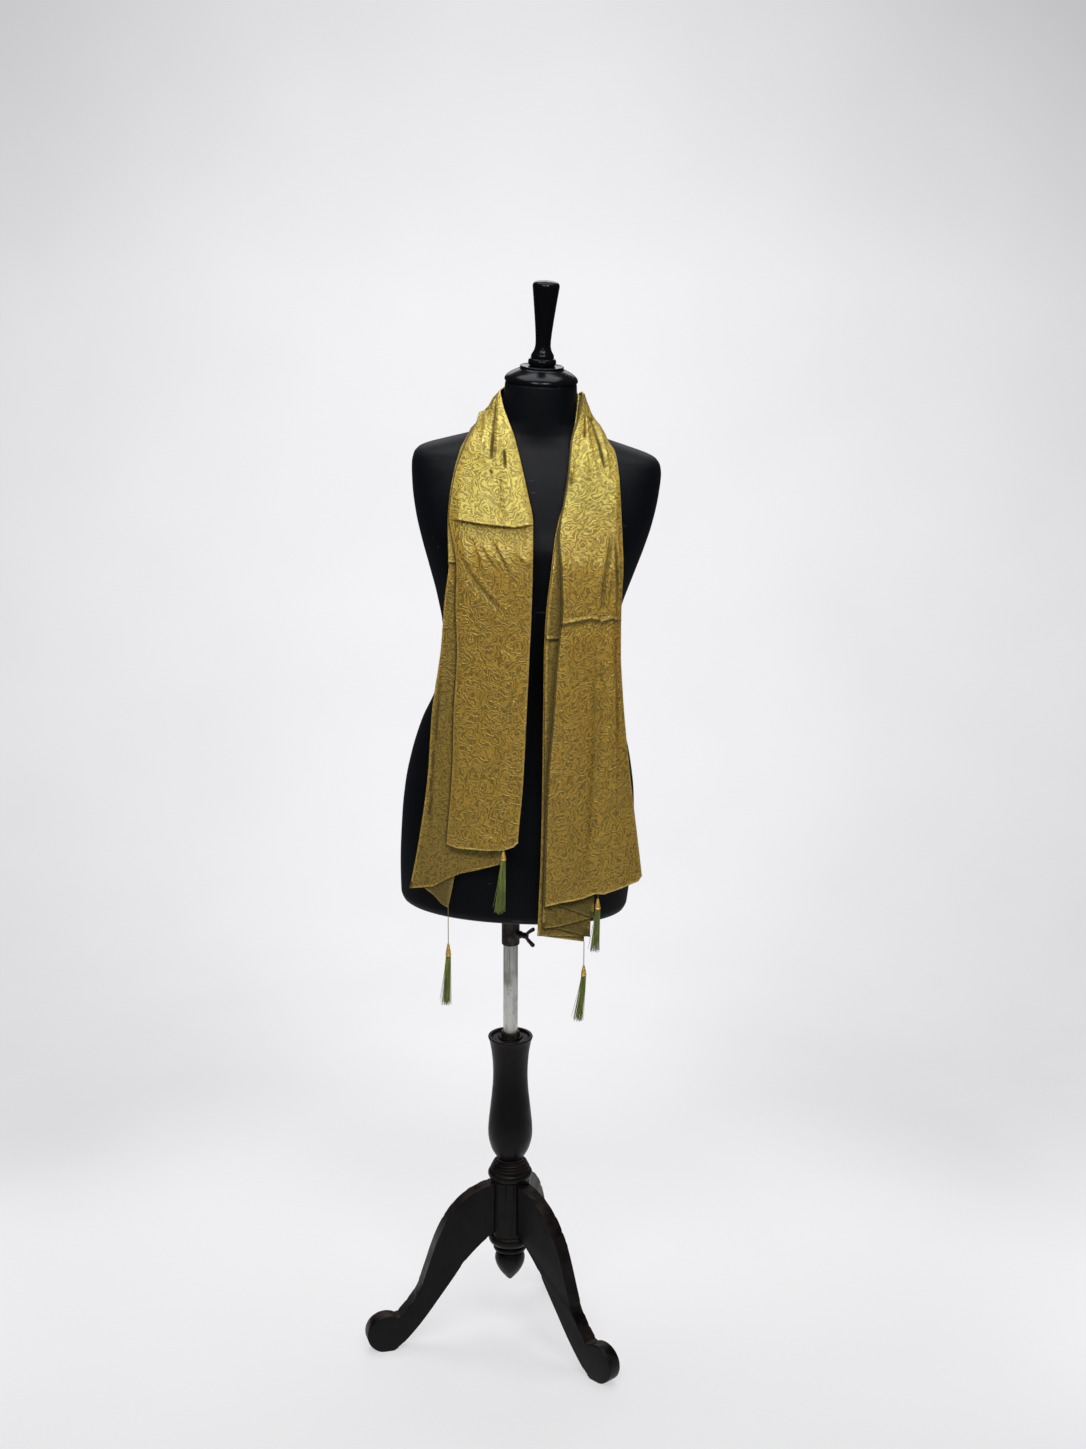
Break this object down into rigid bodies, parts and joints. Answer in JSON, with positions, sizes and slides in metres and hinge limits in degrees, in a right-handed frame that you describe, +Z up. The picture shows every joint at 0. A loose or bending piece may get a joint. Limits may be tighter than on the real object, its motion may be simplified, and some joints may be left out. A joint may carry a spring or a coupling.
{
  "type": "stole with a dress form on a tripod stand",
  "caption": "Long folded stole with corner tassels, hung round the neck of a limbless dress form that is clamped on the pole of a turned tripod stand.",
  "frame": {"origin": "on the floor, under the middle of the whole part's box", "axes": "+Z up, the front of the form and of the stole towards -Y, the wearer's left towards +X"},
  "size_m": [0.4606, 0.4104, 1.7302],
  "materials": {
    "black_jersey": "matte knitted jersey over padding",
    "black_lacquer": "glossy black lacquer",
    "dark_iron": "dark, worn brown at the edges",
    "worn_steel": "worn tube with dull streaks",
    "black_wood": "satin black-brown paint",
    "olive_gold_satin": "tone-on-tone satin jacquard",
    "gilt_cap": "gilt",
    "green_thread": "soft twisted thread",
    "brown_string": "thin cord"
  },
  "bodies": {
    "stand": {"leg_left": "black_wood", "leg_right": "black_wood", "leg_back": "black_wood", "hub": "black_wood", "drop": "black_wood", "bead_rings": "black_wood", "column": "black_wood", "pole_ring": "dark_iron"},
    "pole": {"pole": "worn_steel"},
    "form": {"torso": "black_jersey", "neck_cap": "black_lacquer", "finial": "black_lacquer", "sleeve": "dark_iron", "stole_left": "olive_gold_satin", "stole_nape": "olive_gold_satin", "stole_right": "olive_gold_satin", "string_left_outer": "brown_string", "string_right_inner": "brown_string", "string_right_outer": "brown_string", "cap_left_inner": "gilt_cap", "cap_left_outer": "gilt_cap", "cap_right_inner": "gilt_cap", "cap_right_outer": "gilt_cap", "skirt_left_inner": "green_thread", "skirt_left_outer": "green_thread", "skirt_right_inner": "green_thread", "skirt_right_outer": "green_thread"},
    "bolt": {"wing_bolt": "dark_iron"}
  },
  "joints": [
    {"name": "pole_turn", "type": "hinge", "parent": "stand", "child": "pole", "pos_m": [0.0065, -0.0232, 0.45], "axis": [0, 0, 1], "continuous": true},
    {"name": "form_slide", "type": "slide", "parent": "pole", "child": "form", "axis": [0, 0, 1], "range_m": [-0.12, 0.2]},
    {"name": "bolt_turn", "type": "hinge", "parent": "form", "child": "bolt", "pos_m": [0.0325, -0.0382, 0.7065], "axis": [0.866, -0.5, 0], "range_deg": [-180, 180]}
  ]
}
